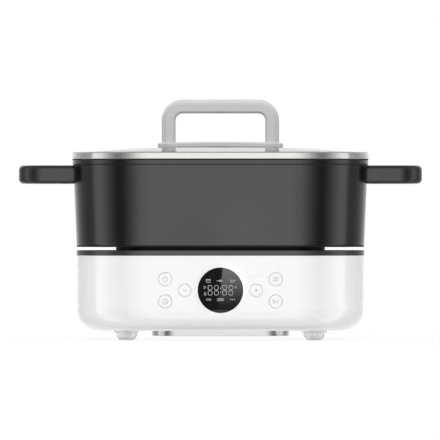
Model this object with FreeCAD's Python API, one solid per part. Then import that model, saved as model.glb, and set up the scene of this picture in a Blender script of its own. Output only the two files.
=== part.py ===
import FreeCAD, Part
import math
import os

# Electric hot pot with a lift-off pot and lid, in millimetres.
# The front faces -Y, +X is to the right, +Z is up.
# The origin is on the table, under the middle of the pot.

# Plan shape: every tier is this core rectangle grown outwards by its own corner radius
core_x = 72.0
core_y = 44.0
base_corner = 71.0
neck_corner = 32.0
pot_foot_corner = 71.0
pot_top_corner = 74.4
pot_rim_corner = 75.2
lid_rim_corner = 75.8

# Heights of the tiers, from the table up
ground_gap = 9.7
base_height = 74.4
deck_height = 5.0
neck_height = 3.5
pot_height = 86.6
seal_height = 1.2
lid_rim_height = 6.0

# Base housing and deck
base_wall = 2.8
base_round = 21.0
deck_skin = 2.8
deck_lip_width = 2.0
fit_gap = 0.3
deck_post_place = 44.0
deck_post_radius = 4.5
lower_post_radius = 5.5
post_split_height = 20.0

# Heating plate, element, reflector and seal
plate_gap = 0.5
plate_engagement = 1.2
plate_skin = 5.0
plate_wall = 4.0
plate_flange_width = 6.0
plate_flange_thickness = 3.0
plate_seal_thickness = 0.8
element_radius = 3.25
element_place = 13.0
element_end_x = 30.0
element_bend = 9.0
element_tail = 16.0
reflector_sheet = 0.8
reflector_depth = 8.5
reflector_wall_inset = 2.0
plate_post_radius = 4.5
plate_post_gap = 1.0
plate_screw_cover = 1.5

# Temperature sensor in the middle of the plate
sensor_radius = 15.0
sensor_gap = 0.5
sensor_wall = 1.2
sensor_crown = 2.0
sensor_depth = 9.8
sensor_flange_width = 2.5
sensor_flange_thickness = 1.0
sensor_travel = 1.5
sensor_boss_width = 4.0
guide_radius = 4.5
guide_base_radius = 11.0
guide_base_thickness = 1.2
spring_wire = 1.2
spring_radius = 8.0

# Keys and display in the front wall
panel_height = 50.0
side_key_x = 54.5
side_key_rise = 11.0
side_key_radius = 6.9
step_key_x = 35.2
step_key_radius = 6.5
key_gap = 0.3
key_flange_width = 1.6
key_flange_thickness = 1.2
key_stem_radius = 2.0
key_travel = 0.6
window_radius = 22.5
window_flange_width = 2.5
window_flange_thickness = 1.0
window_lip_gap = 1.1
module_half_x = 20.0
module_half_z = 10.0

# Control board behind the front wall
board_thickness = 1.6
control_board_gap = 9.2
control_board_half_x = 64.0
control_board_half_z = 25.0
control_post_x = 45.0
control_post_rise = 20.5
control_post_radius = 3.2
switch_half = 4.0
switch_height = 3.5
switch_bore_gap = 0.3
switch_floor = 0.7

# Bottom cover and power board
cover_half_x = 68.4
cover_half_y = 46.4
cover_corner = 24.0
cover_height = 5.9
cover_floor = 2.6
cover_flange = 10.4
cover_boss_radius = 4.5
cover_boss_height = 9.0
cover_screw_y = 20.0
slot_width = 3.0
slot_length = 24.0
slot_pitch = 8.0
slots_in_row = 8
power_board_half_x = 50.0
power_board_half_y = 29.0
power_board_rise = 9.6
power_post_radius = 3.5
power_post_inset = 5.0

# Parts on the two boards
terminal_half = 5.0
terminal_depth = 9.0
terminal_height = 12.0
terminal_inset = 2.0
header_half_x = 8.0
header_depth = 6.0
header_height = 9.0
header_inset = 2.0
relay_x = -28.5
relay_half_x = 9.5
relay_half_y = 8.0
relay_height = 15.0
winding_x = 5.0
winding_half_x = 13.0
winding_half_y = 10.0
winding_height = 20.0
core_overhang = 2.0
core_half_y = 4.0
core_low = 5.0
core_high = 15.0
capacitor_x = 34.0
capacitors = ((-4.0, 6.5, 22.0), (-18.0, 4.0, 13.0))

# Power inlet in the back wall
inlet_height = 50.0
inlet_half_x = 13.6
inlet_half_z = 9.8
inlet_depth = 26.0
inlet_flange_half_x = 23.0
inlet_flange_half_z = 12.5
inlet_flange_thickness = 2.4
inlet_flange_corner = 3.0
mouth_half_x = 12.0
mouth_half_z = 8.1
mouth_depth = 16.0
mouth_chamfer = 4.0
pin_half_width = 1.0
pin_half_height = 2.0
pin_spacing = 7.0
pin_recess = 2.0
pin_tail = 7.0
inlet_screw_x = 18.0
inlet_boss_radius = 3.6
inlet_boss_depth = 8.0

# Leads inside the base
lead_radius = 1.5
lead_bend = 9.0
ribbon_radius = 2.0
ribbon_least_run = 12.0

# Feet
foot_inset_x = 49.7
foot_inset_y = 55.0
foot_radius = 9.75
foot_round = 4.75
foot_round_steps = 3
foot_collar_radius = 12.0
foot_collar_thickness = 2.3
foot_neck_radius = 4.5
foot_barb_radius = 6.0
foot_barb_height = 4.5

# Pot
pot_wall = 2.6
pot_floor = 4.0
pot_foot_round = 3.0
pot_inner_round = 8.0
rim_band_height = 4.3
groove_height = 0.5
groove_depth = 0.5
rim_round = 0.8
pot_seat_gap = 0.6

# Side handles and their lugs
handle_reach = 54.6
handle_overhang = 3.0
handle_bar = 15.0
handle_corner = 24.0
handle_height = 18.2
handle_drop = 5.4
handle_round = 4.5
handle_seat_gap = 0.15
lug_length = 17.0
lug_width = 8.0
lug_height = 9.0
lug_gap = 0.25
lug_cover = 1.0
handle_screw_place = 10.0
handle_screw_sink = 2.6

# Lid
lid_sheet = 0.8
lid_lip_width = 5.8
lid_edge_round = 1.0
skirt_sheet = 0.8
skirt_depth = 8.0
skirt_gap = 0.8
glass_thickness = 4.0
glass_edge_gap = 0.3
dome_rise = 6.8
dome_power = 3.0
dome_edge_inset = 0.5
dome_sections = (1.0, 0.93, 0.84, 0.70, 0.50, 0.30)

# Lid handle
plate_half_x = 62.7
plate_half_y = 15.0
plate_corner = 13.0
plate_thickness = 4.6
plate_bow = 1.0
plate_underside_bow = 0.6
plate_edge_round = 1.6
gasket_thickness = 0.4
gasket_inset = 1.0
washer_radius = 8.3
washer_thickness = 1.5
grip_half_x = 58.7
grip_half_y = 11.0
grip_bar = 14.0
grip_height = 42.5
grip_corner = 21.0
grip_inner_corner = 7.0
grip_round = 5.0
grip_inner_round = 2.5

# Steam vent at the back of the glass
vent_y = 72.0
vent_bore = 1.8
vent_radius = 3.6
vent_flange_radius = 6.5
vent_flange_thickness = 0.8

# Screws: shank radius, head radius and head height of each size used
m3 = {"shank": 1.45, "head": 2.8, "head_height": 2.0}
m4 = {"shank": 1.95, "head": 3.8, "head_height": 2.6}
m5 = {"shank": 2.45, "head": 4.6, "head_height": 3.0}
thread_gap = 0.05
clearance_hole = 0.25
head_gap = 0.5
tip_gap = 2.0

# How far posts and cuts run past the faces that they meet
overrun = 1.0

# Sizes worked out from the ones above
base_top = ground_gap + base_height
deck_top = base_top + deck_height
deck_underside = deck_top - deck_skin
lip_bottom = panel_height + window_radius + window_flange_width + window_lip_gap
pot_bottom = deck_top + neck_height
plate_top = pot_bottom + plate_engagement
plate_underside = plate_top - plate_skin
flange_top = deck_underside - plate_seal_thickness
flange_bottom = flange_top - plate_flange_thickness
plate_flange_corner = neck_corner + plate_flange_width
reflector_bottom = flange_bottom - reflector_depth
pot_floor_top = plate_top + pot_floor
pot_top = pot_bottom + pot_height
band_bottom = pot_top - rim_band_height
groove_bottom = band_bottom - groove_height
seal_top = pot_top + seal_height
lid_rim_top = seal_top + lid_rim_height
inner_corner = base_corner - base_wall
floor_top = ground_gap + base_wall
front_inner_y = -(core_y + inner_corner)
front_y = -(core_y + base_corner)
back_inner_y = core_y + inner_corner
back_y = core_y + base_corner
control_board_front = front_inner_y + control_board_gap
pot_top_inner_corner = pot_top_corner - pot_wall
handle_top = pot_top - handle_drop
handle_bottom = handle_top - handle_height
handle_middle = handle_top - handle_height / 2
handle_half_y = core_y + handle_overhang
handle_tip = core_x + pot_top_corner + handle_reach
lug_y = handle_half_y - handle_bar / 2
skirt_corner = pot_top_inner_corner - skirt_gap
glass_top = lid_rim_top - lid_sheet
glass_bottom = glass_top - glass_thickness
glass_corner = lid_rim_corner - lid_sheet - glass_edge_gap
lip_corner = lid_rim_corner - lid_lip_width
dome_corner = lip_corner - dome_edge_inset
dome_top = glass_top + dome_rise
grip_plate_bottom = dome_top + gasket_thickness
grip_plate_top = grip_plate_bottom + plate_thickness
grip_top = grip_plate_top + grip_height
grip_leg_x = grip_half_x - grip_bar / 2
power_board_bottom = ground_gap - cover_height + cover_floor + power_board_rise
power_board_top = power_board_bottom + board_thickness
terminal_back = power_board_half_y - terminal_inset
lead_height = power_board_top + terminal_height / 2
panel_header_bottom = panel_height - control_board_half_z + header_inset

side_keys = {
    "key_power": (-side_key_x, side_key_rise),
    "key_timer": (-side_key_x, -side_key_rise),
    "key_mode": (side_key_x, side_key_rise),
    "key_start": (side_key_x, -side_key_rise),
}
step_keys = {
    "key_minus": (-step_key_x, 0.0),
    "key_plus": (step_key_x, 0.0),
}
four_corners = [(1, 1), (-1, 1), (-1, -1), (1, -1)]


def point(x, y, z):
    return FreeCAD.Vector(x, y, z)


def rounded_outline(half_x, half_y, corner, z):
    """Closed wire of a rounded rectangle, centred on the origin."""
    edges = []
    ends = []
    for turn, (sx, sy) in enumerate(four_corners):
        middle = point(sx * (half_x - corner), sy * (half_y - corner), z)
        angles = [(turn + share) * math.pi / 2 for share in (0, 0.5, 1)]
        arc = [middle + point(corner * math.cos(a), corner * math.sin(a), 0) for a in angles]
        if ends:
            edges.append(Part.LineSegment(ends[-1], arc[0]).toShape())
        edges.append(Part.Arc(*arc).toShape())
        ends += [arc[0], arc[2]]
    edges.append(Part.LineSegment(ends[-1], ends[0]).toShape())
    return Part.Wire(edges)


def rounded_prism(half_x, half_y, corner, low, high):
    outline = rounded_outline(half_x, half_y, corner, low)
    return Part.Face(outline).extrude(point(0, 0, high - low))


def tier(corner, low, high):
    """Block with the pot's own plan shape."""
    return rounded_prism(core_x + corner, core_y + corner, corner, low, high)


def bend_at(before, corner, after, radius):
    """Start, middle and end of the arc that rounds a corner between two straight lines."""
    into = (corner - before).normalize()
    out = (after - corner).normalize()
    half_turn = into.getAngle(out) / 2
    reach = radius * math.tan(half_turn)
    enter = corner - into * reach
    leave = corner + out * reach
    towards = (corner - (enter + leave) * 0.5).normalize()
    through = (enter + leave) * 0.5 + towards * radius * (1 - math.cos(half_turn))
    return enter, through, leave


def profile_face(corners):
    """Face in the X-Z plane from corners (x, z) or (x, z, radius of its rounding)."""
    spots = [point(corner[0], 0, corner[1]) for corner in corners]
    radii = [corner[2] if len(corner) > 2 else 0.0 for corner in corners]
    edges = []
    joints = []
    for index, spot in enumerate(spots):
        if radii[index]:
            after = spots[(index + 1) % len(spots)]
            enter, through, leave = bend_at(spots[index - 1], spot, after, radii[index])
            edges.append(Part.Arc(enter, through, leave).toShape())
            joints.append((enter, leave))
        else:
            joints.append((spot, spot))
    for (enter, leave), (next_enter, next_leave) in zip(joints, joints[1:] + joints[:1]):
        if (next_enter - leave).Length > 1e-6:
            edges.append(Part.LineSegment(leave, next_enter).toShape())
    return Part.Face(Part.Wire(Part.__sortEdges__(edges)))


def around_core(corners):
    """Carry a profile round the core rectangle; X in the profile is the distance from the core."""
    face = profile_face(corners)
    pieces = []
    for turn in range(4):
        reach, width = (core_x, core_y) if turn % 2 == 0 else (core_y, core_x)
        side = face.copy()
        side.translate(point(reach, -width, 0))
        side = side.extrude(point(0, 2 * width, 0))
        corner = face.copy()
        corner.translate(point(reach, width, 0))
        corner = corner.revolve(point(reach, width, 0), point(0, 0, 1), 90)
        for piece in (side, corner):
            piece.rotate(point(0, 0, 0), point(0, 0, 1), 90 * turn)
            pieces.append(piece)
    core_heights = [corner[1] for corner in corners if corner[0] == 0]
    if core_heights:
        low, high = min(core_heights), max(core_heights)
        pieces.append(block(-core_x, core_x, -core_y, core_y, low, high))
    return joined(pieces)


def tier_ring(outer, inner, low, high):
    return around_core([(inner, low), (outer, low), (outer, high), (inner, high)])


def rod(radius, start, end):
    """Round bar from one point to another."""
    run = end - start
    return Part.makeCylinder(radius, run.Length, start, run)


def upright(radius, x, y, low, high):
    return rod(radius, point(x, y, low), point(x, y, high))


def block(x0, x1, y0, y1, z0, z1):
    return Part.makeBox(x1 - x0, y1 - y0, z1 - z0, point(x0, y0, z0))


def joined(shapes):
    shape = shapes[0]
    if len(shapes) > 1:
        shape = shape.fuse(shapes[1:])
    return shape.removeSplitter()


def level_edges(shape, z):
    """Edges that lie flat at one height."""
    found = []
    for edge in shape.Edges:
        box = edge.BoundBox
        if abs(box.ZMin - z) < 1e-4 and abs(box.ZMax - z) < 1e-4:
            found.append(edge)
    return found


def screw(size, head_side, tip):
    """Round-headed screw from the middle of its head's seat to its tip."""
    shank = rod(size["shank"], head_side, tip)
    back = head_side - tip
    back.normalize()
    head = rod(size["head"], head_side, head_side + back * size["head_height"])
    return shank.fuse(head).removeSplitter()


def tube_along(points, radius, bend):
    """Round tube along straight runs joined by bends of one radius."""
    pieces = []
    start = points[0]
    for before, corner, after in zip(points, points[1:], points[2:]):
        enter, through, leave = bend_at(before, corner, after, bend)
        pieces.append(rod(radius, start, enter))
        into = (corner - before).normalize()
        out = (after - corner).normalize()
        axis = into.cross(out).normalize()
        centre = enter + axis.cross(into) * bend
        disc = Part.Face(Part.Wire([Part.Circle(enter, into, radius).toShape()]))
        pieces.append(disc.revolve(centre, axis, math.degrees(into.getAngle(out))))
        start = leave
    pieces.append(rod(radius, start, points[-1]))
    return joined(pieces)


def corner_places(place):
    """The four points on the corner diagonals, one corner radius out from the core."""
    step = place * math.sqrt(0.5)
    return [(sx * (core_x + step), sy * (core_y + step)) for sx, sy in four_corners]


def side_places(place):
    """Middles of the four sides, one corner radius out from the core."""
    x = core_x + place
    y = core_y + place
    return [(x, 0), (0, y), (-x, 0), (0, -y)]


def foot_places():
    x = core_x + base_corner - foot_inset_x
    y = core_y + base_corner - foot_inset_y
    return {
        "foot_front_left": (-x, -y),
        "foot_front_right": (x, -y),
        "foot_rear_left": (-x, y),
        "foot_rear_right": (x, y),
    }


def key_places():
    """Name, X, height and hole radius of each key."""
    rows = [(name, x, z, side_key_radius) for name, (x, z) in side_keys.items()]
    rows += [(name, x, z, step_key_radius) for name, (x, z) in step_keys.items()]
    return [(name, x, panel_height + z, radius) for name, x, z, radius in rows]


def control_posts():
    return [(sx * control_post_x, panel_height + sz * control_post_rise) for sx, sz in four_corners]


def power_posts():
    x = power_board_half_x - power_post_inset
    y = power_board_half_y - power_post_inset
    return [(sx * x, sy * y) for sx, sy in four_corners]


def cover_screw_places():
    x = cover_half_x - cover_flange / 2
    return [(sx * x, sy * cover_screw_y) for sx, sy in four_corners]


# Base unit

def housing_block():
    """The tub's outer form, filled."""
    return around_core([
        (0, ground_gap), (base_corner, ground_gap, base_round), (base_corner, base_top), (0, base_top),
    ])


def housing_cavity():
    round_inside = base_round - base_wall
    return around_core([
        (0, floor_top), (inner_corner, floor_top, round_inside), (inner_corner, base_top), (0, base_top),
    ])


def make_base_housing():
    tub = around_core([
        (0, ground_gap), (base_corner, ground_gap, base_round), (base_corner, base_top),
        (inner_corner, base_top), (inner_corner, floor_top, base_round - base_wall), (0, floor_top),
    ])
    posts = []
    for x, y in corner_places(deck_post_place):
        low = floor_top - overrun
        posts.append(upright(lower_post_radius, x, y, low, ground_gap + post_split_height))
    for x, y in cover_screw_places():
        posts.append(upright(cover_boss_radius, x, y, floor_top - overrun, floor_top + cover_boss_height))
    for x, z in control_posts():
        wall = point(x, front_inner_y - overrun, z)
        posts.append(rod(control_post_radius, wall, point(x, control_board_front, z)))
    for sx in (-1, 1):
        wall = point(sx * inlet_screw_x, back_inner_y + overrun, inlet_height)
        inside = point(sx * inlet_screw_x, back_inner_y - inlet_boss_depth, inlet_height)
        posts.append(rod(inlet_boss_radius, wall, inside))
    tub = joined([tub] + posts)

    holes = []
    for x, y in corner_places(deck_post_place):
        seat = ground_gap + post_split_height - deck_skin
        holes.append(upright(m4["head"] + head_gap, x, y, 0, seat))
        holes.append(upright(m4["shank"] + clearance_hole, x, y, 0, base_top))
    for x, y in cover_screw_places():
        top = floor_top + cover_boss_height - base_wall
        holes.append(upright(m3["shank"] + thread_gap, x, y, 0, top))
    for x, z in control_posts():
        start = point(x, front_inner_y, z)
        holes.append(rod(m3["shank"] + thread_gap, start, point(x, control_board_front + overrun, z)))
    for x, y in foot_places().values():
        holes.append(upright(foot_neck_radius + clearance_hole, x, y, 0, floor_top + overrun))
    for name, x, z, radius in key_places():
        holes.append(rod(radius, point(x, front_y - overrun, z), point(x, front_inner_y + overrun, z)))
    window_start = point(0, front_y - overrun, panel_height)
    holes.append(rod(window_radius, window_start, point(0, front_inner_y + overrun, panel_height)))
    half_x = inlet_half_x + fit_gap
    half_z = inlet_half_z + fit_gap
    holes.append(block(-half_x, half_x, back_inner_y - overrun, back_y + overrun,
                       inlet_height - half_z, inlet_height + half_z))
    for sx in (-1, 1):
        outside = point(sx * inlet_screw_x, back_y + overrun, inlet_height)
        inside = point(sx * inlet_screw_x, back_inner_y - inlet_boss_depth + overrun, inlet_height)
        holes.append(rod(m3["shank"] + thread_gap, outside, inside))
    half_x = cover_half_x - cover_flange
    half_y = cover_half_y - cover_flange
    corner = cover_corner - cover_flange
    holes.append(rounded_prism(half_x, half_y, corner, 0, floor_top + overrun))
    return tub.cut(holes)


def make_top_deck():
    lip_outer = inner_corner - fit_gap
    lip_inner = lip_outer - deck_lip_width
    opening = neck_corner + plate_gap
    deck = around_core([
        (lip_inner, lip_bottom), (lip_outer, lip_bottom), (lip_outer, base_top),
        (base_corner, base_top), (base_corner, deck_top), (opening, deck_top),
        (opening, deck_underside), (lip_inner, deck_underside),
    ])
    posts = []
    for x, y in corner_places(deck_post_place):
        low = ground_gap + post_split_height
        posts.append(upright(deck_post_radius, x, y, low, deck_underside + overrun))
    for x, y in side_places(plate_post_place()):
        posts.append(upright(plate_post_radius, x, y, flange_bottom, deck_underside + overrun))
    deck = joined([deck] + posts)
    holes = []
    for x, y in corner_places(deck_post_place):
        low = ground_gap + post_split_height
        holes.append(upright(m4["shank"] + thread_gap, x, y, low - overrun, low + post_split_height))
    for x, y in side_places(plate_post_place()):
        top = deck_top - overrun
        holes.append(upright(m3["shank"] + thread_gap, x, y, flange_bottom - overrun, top))
    return deck.cut(holes)


def plate_post_place():
    return plate_flange_corner + plate_post_gap + plate_post_radius


def make_plate_seal():
    inner = neck_corner + plate_gap
    return tier_ring(plate_flange_corner, inner, flange_top, deck_underside)


def make_hot_plate():
    boss_radius = sensor_radius + sensor_boss_width
    boss_bottom = plate_top - sensor_depth
    pocket = neck_corner - plate_wall
    plate = around_core([
        (0, plate_underside), (pocket, plate_underside), (pocket, flange_bottom),
        (plate_flange_corner, flange_bottom), (plate_flange_corner, flange_top),
        (neck_corner, flange_top), (neck_corner, plate_top, rim_round), (0, plate_top),
    ])
    boss = upright(boss_radius, 0, 0, boss_bottom, plate_underside + overrun)
    bore = upright(sensor_radius + sensor_gap, 0, 0, boss_bottom - overrun, plate_top + overrun)
    return joined([plate, boss]).cut(bore)


def make_heating_element():
    """Tube open at the back, its two ends turned down through the tray."""
    level = plate_underside - element_radius
    low = reflector_bottom - element_tail
    x = core_x + element_place
    y = core_y + element_place
    loop = [
        point(element_end_x, y, low),
        point(element_end_x, y, level),
        point(x, y, level),
        point(x, -y, level),
        point(-x, -y, level),
        point(-x, y, level),
        point(-element_end_x, y, level),
        point(-element_end_x, y, low),
    ]
    return tube_along(loop, element_radius, element_bend)


def make_heat_reflector():
    """Pressed tray: its flange clamps the plate's flange and is screwed to the deck."""
    wall_corner = neck_corner - reflector_wall_inset
    flange_corner = plate_post_place() + plate_post_radius
    inner = wall_corner - reflector_sheet
    top = flange_bottom
    floor_high = reflector_bottom + reflector_sheet
    tray = around_core([
        (0, reflector_bottom), (wall_corner, reflector_bottom),
        (wall_corner, top - reflector_sheet), (flange_corner, top - reflector_sheet),
        (flange_corner, top), (inner, top),
        (inner, floor_high), (0, floor_high),
    ])
    holes = []
    for x, y in side_places(plate_post_place()):
        holes.append(upright(m3["shank"] + clearance_hole, x, y, reflector_bottom, top + overrun))
    for x, y in corner_places(deck_post_place):
        holes.append(upright(deck_post_radius + head_gap, x, y, reflector_bottom, top + overrun))
    end_y = core_y + element_place
    for sx in (-1, 1):
        hole = upright(element_radius + head_gap, sx * element_end_x, end_y, 0, floor_high + overrun)
        holes.append(hole)
    return tray.cut(holes)


def make_plate_screws():
    seat = flange_bottom - reflector_sheet
    tip = deck_top - plate_screw_cover
    screws = []
    for x, y in side_places(plate_post_place()):
        screws.append(screw(m3, point(x, y, seat), point(x, y, tip)))
    return Part.makeCompound(screws)


def make_sensor_bracket():
    """Disc on the tray with a hollow post that guides the sensor's spring."""
    low = reflector_bottom + reflector_sheet
    disc = upright(guide_base_radius, 0, 0, low, low + guide_base_thickness)
    post_top = plate_top - sensor_crown - sensor_travel - fit_gap
    post = upright(guide_radius, 0, 0, low, post_top)
    bore = upright(guide_radius - sensor_wall, 0, 0, low - overrun, post_top + overrun)
    return disc.fuse(post).cut(bore)


def make_sensor_spring():
    """Coil spring hidden inside the sensor, kept as the sleeve that its turns fill."""
    low = reflector_bottom + reflector_sheet + guide_base_thickness
    high = plate_top - sensor_crown
    sleeve = upright(spring_radius + spring_wire / 2, 0, 0, low, high)
    return sleeve.cut(upright(spring_radius - spring_wire / 2, 0, 0, low - overrun, high + overrun))


def make_sensor_cap():
    bottom = plate_top - sensor_depth
    low = bottom - sensor_flange_thickness
    edge = 2 * sensor_wall / 3
    inside = sensor_radius - sensor_wall
    profile = Part.makePolygon([point(x, 0, z) for x, z in (
        (0, plate_top), (sensor_radius - edge, plate_top), (sensor_radius, plate_top - edge),
        (sensor_radius, bottom), (sensor_radius + sensor_flange_width, bottom),
        (sensor_radius + sensor_flange_width, low), (inside, low),
        (inside, plate_top - sensor_crown), (0, plate_top - sensor_crown), (0, plate_top),
    )])
    return Part.Face(profile).revolve(point(0, 0, 0), point(0, 0, 1), 360)


def make_key(x, z, hole_radius):
    """Cap flush with the front wall, with a flange behind the wall and a stem to its switch."""
    cap_radius = hole_radius - key_gap
    flange_radius = hole_radius + key_flange_width
    flange_end = front_inner_y + key_flange_thickness
    stem_end = control_board_front - switch_floor - key_travel - fit_gap
    cap = rod(cap_radius, point(x, front_y, z), point(x, front_inner_y, z))
    cap = cap.common(housing_block())
    flange = rod(flange_radius, point(x, front_inner_y, z), point(x, flange_end, z))
    flange = flange.common(housing_cavity())
    stem = rod(key_stem_radius, point(x, flange_end, z), point(x, stem_end, z))
    return joined([cap, flange, stem])


def make_tact_switches():
    switches = []
    for name, x, z, radius in key_places():
        front = control_board_front - switch_height
        body = block(x - switch_half, x + switch_half, front, control_board_front,
                     z - switch_half, z + switch_half)
        bore_radius = key_stem_radius + switch_bore_gap
        bore_end = point(x, control_board_front - switch_floor, z)
        switches.append(body.cut(rod(bore_radius, point(x, front - overrun, z), bore_end)))
    return Part.makeCompound(switches)


def make_control_board():
    low = panel_height - control_board_half_z
    high = panel_height + control_board_half_z
    board = block(-control_board_half_x, control_board_half_x,
                  control_board_front, control_board_front + board_thickness, low, high)
    holes = []
    for x, z in control_posts():
        start = point(x, control_board_front - overrun, z)
        end = point(x, control_board_front + board_thickness + overrun, z)
        holes.append(rod(m3["shank"] + clearance_hole, start, end))
    return board.cut(holes)


def make_control_board_screws():
    seat = control_board_front + board_thickness
    screws = []
    for x, z in control_posts():
        screws.append(screw(m3, point(x, seat, z), point(x, front_inner_y + overrun, z)))
    return Part.makeCompound(screws)


def make_display_window():
    """Round window, flush in front, with a flange bonded behind the wall."""
    flange_radius = window_radius + window_flange_width
    flange_end = front_inner_y + window_flange_thickness
    lens = rod(window_radius - thread_gap, point(0, front_y, panel_height),
               point(0, front_inner_y, panel_height))
    flange = rod(flange_radius, point(0, front_inner_y, panel_height),
                 point(0, flange_end, panel_height))
    return joined([lens.common(housing_block()), flange.common(housing_cavity())])


def make_display_module():
    front = front_inner_y + window_flange_thickness + fit_gap
    body = block(-module_half_x, module_half_x, front, control_board_front,
                 panel_height - module_half_z, panel_height + module_half_z)
    return body.makeChamfer(fit_gap, body.Edges[0:1])


def make_inlet_socket():
    """Recessed three-pin inlet with a mouth that is cut off at its two upper corners."""
    flange_back = back_y + inlet_flange_thickness
    body = block(-inlet_half_x, inlet_half_x, back_y - inlet_depth, back_y,
                 inlet_height - inlet_half_z, inlet_height + inlet_half_z)
    flange = block(-inlet_flange_half_x, inlet_flange_half_x, back_y, flange_back,
                   inlet_height - inlet_flange_half_z, inlet_height + inlet_flange_half_z)
    corners = [edge for edge in flange.Edges if edge.BoundBox.YLength > inlet_flange_thickness / 2]
    flange = flange.makeFillet(inlet_flange_corner, corners)
    mouth_end = flange_back - mouth_depth
    left = -mouth_half_x
    right = mouth_half_x
    low = inlet_height - mouth_half_z
    high = inlet_height + mouth_half_z
    outline = [
        (left, low), (right, low), (right, high - mouth_chamfer),
        (right - mouth_chamfer, high), (left + mouth_chamfer, high), (left, high - mouth_chamfer),
    ]
    corners = [point(x, mouth_end, z) for x, z in outline + outline[:1]]
    mouth = Part.Face(Part.makePolygon(corners)).extrude(point(0, mouth_depth + overrun, 0))
    holes = [mouth]
    for sx in (-1, 1):
        start = point(sx * inlet_screw_x, back_y - overrun, inlet_height)
        end = point(sx * inlet_screw_x, flange_back + overrun, inlet_height)
        holes.append(rod(m3["shank"] + clearance_hole, start, end))
    for x, z in pin_places():
        holes.append(pin(x, z))
    return body.fuse(flange).cut(holes).removeSplitter()


def pin_places():
    low = inlet_height - pin_half_height
    high = inlet_height + pin_half_height
    return [(-pin_spacing, low), (pin_spacing, low), (0, high)]


def pin(x, z):
    start = back_y - inlet_depth - pin_tail
    end = back_y + inlet_flange_thickness - pin_recess
    return block(x - pin_half_width, x + pin_half_width, start, end,
                 z - pin_half_height, z + pin_half_height)


def make_inlet_pins():
    return Part.makeCompound([pin(x, z) for x, z in pin_places()])


def make_inlet_screws():
    screws = []
    for sx in (-1, 1):
        seat = point(sx * inlet_screw_x, back_y + inlet_flange_thickness, inlet_height)
        tip = point(sx * inlet_screw_x, back_inner_y - inlet_boss_depth + tip_gap, inlet_height)
        screws.append(screw(m3, seat, tip))
    return Part.makeCompound(screws)


def make_bottom_cover():
    low = ground_gap - cover_height
    floor = low + cover_floor
    half_x = cover_half_x - cover_flange
    half_y = cover_half_y - cover_flange
    corner = cover_corner - cover_flange
    tray = rounded_prism(cover_half_x, cover_half_y, cover_corner, low, ground_gap)
    tray = tray.makeFillet(rim_round, level_edges(tray, low))
    pocket = rounded_prism(half_x - fit_gap, half_y - fit_gap, corner - fit_gap, floor, ground_gap + overrun)
    tray = tray.cut(pocket)
    posts = [upright(power_post_radius, x, y, floor - overrun, power_board_bottom) for x, y in power_posts()]
    tray = joined([tray] + posts)
    holes = []
    for x, y in power_posts():
        holes.append(upright(m3["shank"] + thread_gap, x, y, floor, power_board_bottom + overrun))
    for x, y in cover_screw_places():
        seat = low + m3["head_height"] + head_gap
        holes.append(upright(m3["head"] + head_gap, x, y, low - overrun, seat))
        holes.append(upright(m3["shank"] + clearance_hole, x, y, low - overrun, ground_gap + overrun))
    for sy in (-1, 1):
        middle_y = sy * (slot_length / 2 + slot_width)
        for index in range(slots_in_row):
            x = (index - (slots_in_row - 1) / 2) * slot_pitch
            holes.append(block(x - slot_width / 2, x + slot_width / 2,
                               middle_y - slot_length / 2, middle_y + slot_length / 2,
                               low - overrun, floor + overrun))
    return tray.cut(holes)


def make_cover_screws():
    seat = ground_gap - cover_height + m3["head_height"] + head_gap
    tip = floor_top + cover_boss_height - base_wall - overrun
    screws = []
    for x, y in cover_screw_places():
        screws.append(screw(m3, point(x, y, seat), point(x, y, tip)))
    return Part.makeCompound(screws)


def make_deck_screws():
    seat = ground_gap + post_split_height - deck_skin
    tip = ground_gap + 2 * post_split_height - tip_gap
    screws = []
    for x, y in corner_places(deck_post_place):
        screws.append(screw(m4, point(x, y, seat), point(x, y, tip)))
    return Part.makeCompound(screws)


def make_power_board():
    board = block(-power_board_half_x, power_board_half_x, -power_board_half_y, power_board_half_y,
                  power_board_bottom, power_board_top)
    holes = []
    for x, y in power_posts():
        radius = m3["shank"] + clearance_hole
        holes.append(upright(radius, x, y, power_board_bottom - overrun, power_board_top + overrun))
    return board.cut(holes)


def make_power_board_screws():
    tip = ground_gap - cover_height + cover_floor + overrun
    screws = []
    for x, y in power_posts():
        screws.append(screw(m3, point(x, y, power_board_top), point(x, y, tip)))
    return Part.makeCompound(screws)


def make_board_components():
    """Terminals, relay, transformer, capacitors and the two ribbon headers."""
    top = power_board_top
    pieces = []
    for x in (-element_end_x, -pin_spacing, pin_spacing, element_end_x):
        pieces.append(block(x - terminal_half, x + terminal_half, terminal_back - terminal_depth,
                            terminal_back, top, top + terminal_height))
    pieces.append(block(relay_x - relay_half_x, relay_x + relay_half_x,
                        -relay_half_y, relay_half_y, top, top + relay_height))
    winding = block(winding_x - winding_half_x, winding_x + winding_half_x,
                    -winding_half_y, winding_half_y, top, top + winding_height)
    core_half_x = winding_half_x + core_overhang
    core = block(winding_x - core_half_x, winding_x + core_half_x,
                 -core_half_y, core_half_y, top + core_low, top + core_high)
    pieces.append(joined([winding, core]))
    for y, radius, height in capacitors:
        pieces.append(upright(radius, capacitor_x, y, top, top + height))
    header_y = -power_board_half_y
    pieces.append(block(-header_half_x, header_half_x, header_y, header_y + header_depth,
                        top, top + header_height))
    board_back = control_board_front + board_thickness
    pieces.append(block(-header_half_x, header_half_x, board_back, board_back + header_depth,
                        panel_header_bottom, panel_header_bottom + header_height))
    return Part.makeCompound(pieces)


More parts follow.
